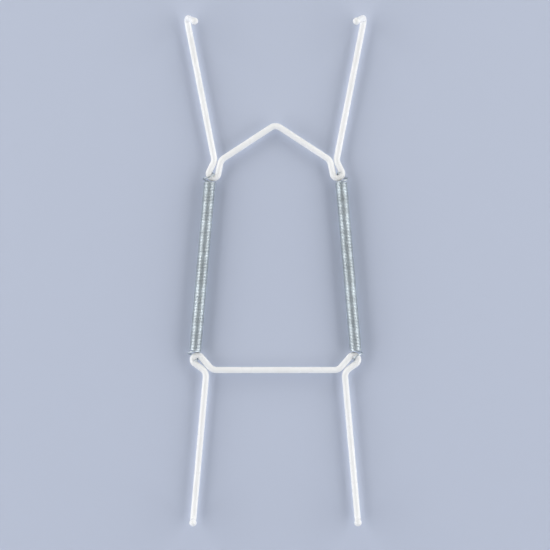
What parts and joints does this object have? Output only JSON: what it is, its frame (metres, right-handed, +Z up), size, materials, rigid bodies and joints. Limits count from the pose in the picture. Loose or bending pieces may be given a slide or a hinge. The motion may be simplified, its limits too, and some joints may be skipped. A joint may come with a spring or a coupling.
{
  "type": "wire plate hanger",
  "caption": "Bent white coated wires with hooked arms, pulled together by coil springs, that grip a plate's rim and hang it on a wall.",
  "frame": {"origin": "underside of the peak in the upper wire, where the hanger rests on its wall hook", "axes": "+Z up the wall, +Y from the front of the hanger towards the wall, +X to the right seen from the front"},
  "size_m": [0.0752, 0.0164, 0.21],
  "materials": {
    "coat": "gloss",
    "spring_steel": "bright"
  },
  "bodies": {
    "upper": {"upper_wire": "coat", "left_spring": "spring_steel", "right_spring": "spring_steel"},
    "lower": {"lower_wire": "coat"}
  },
  "joints": [
    {"name": "stretch", "type": "slide", "parent": "upper", "child": "lower", "axis": [0, 0, -1], "range_m": [0, 0.15], "stiffness_N_per_m": 270, "springref_m": -0.01, "deforming": ["left_spring", "right_spring"]}
  ]
}
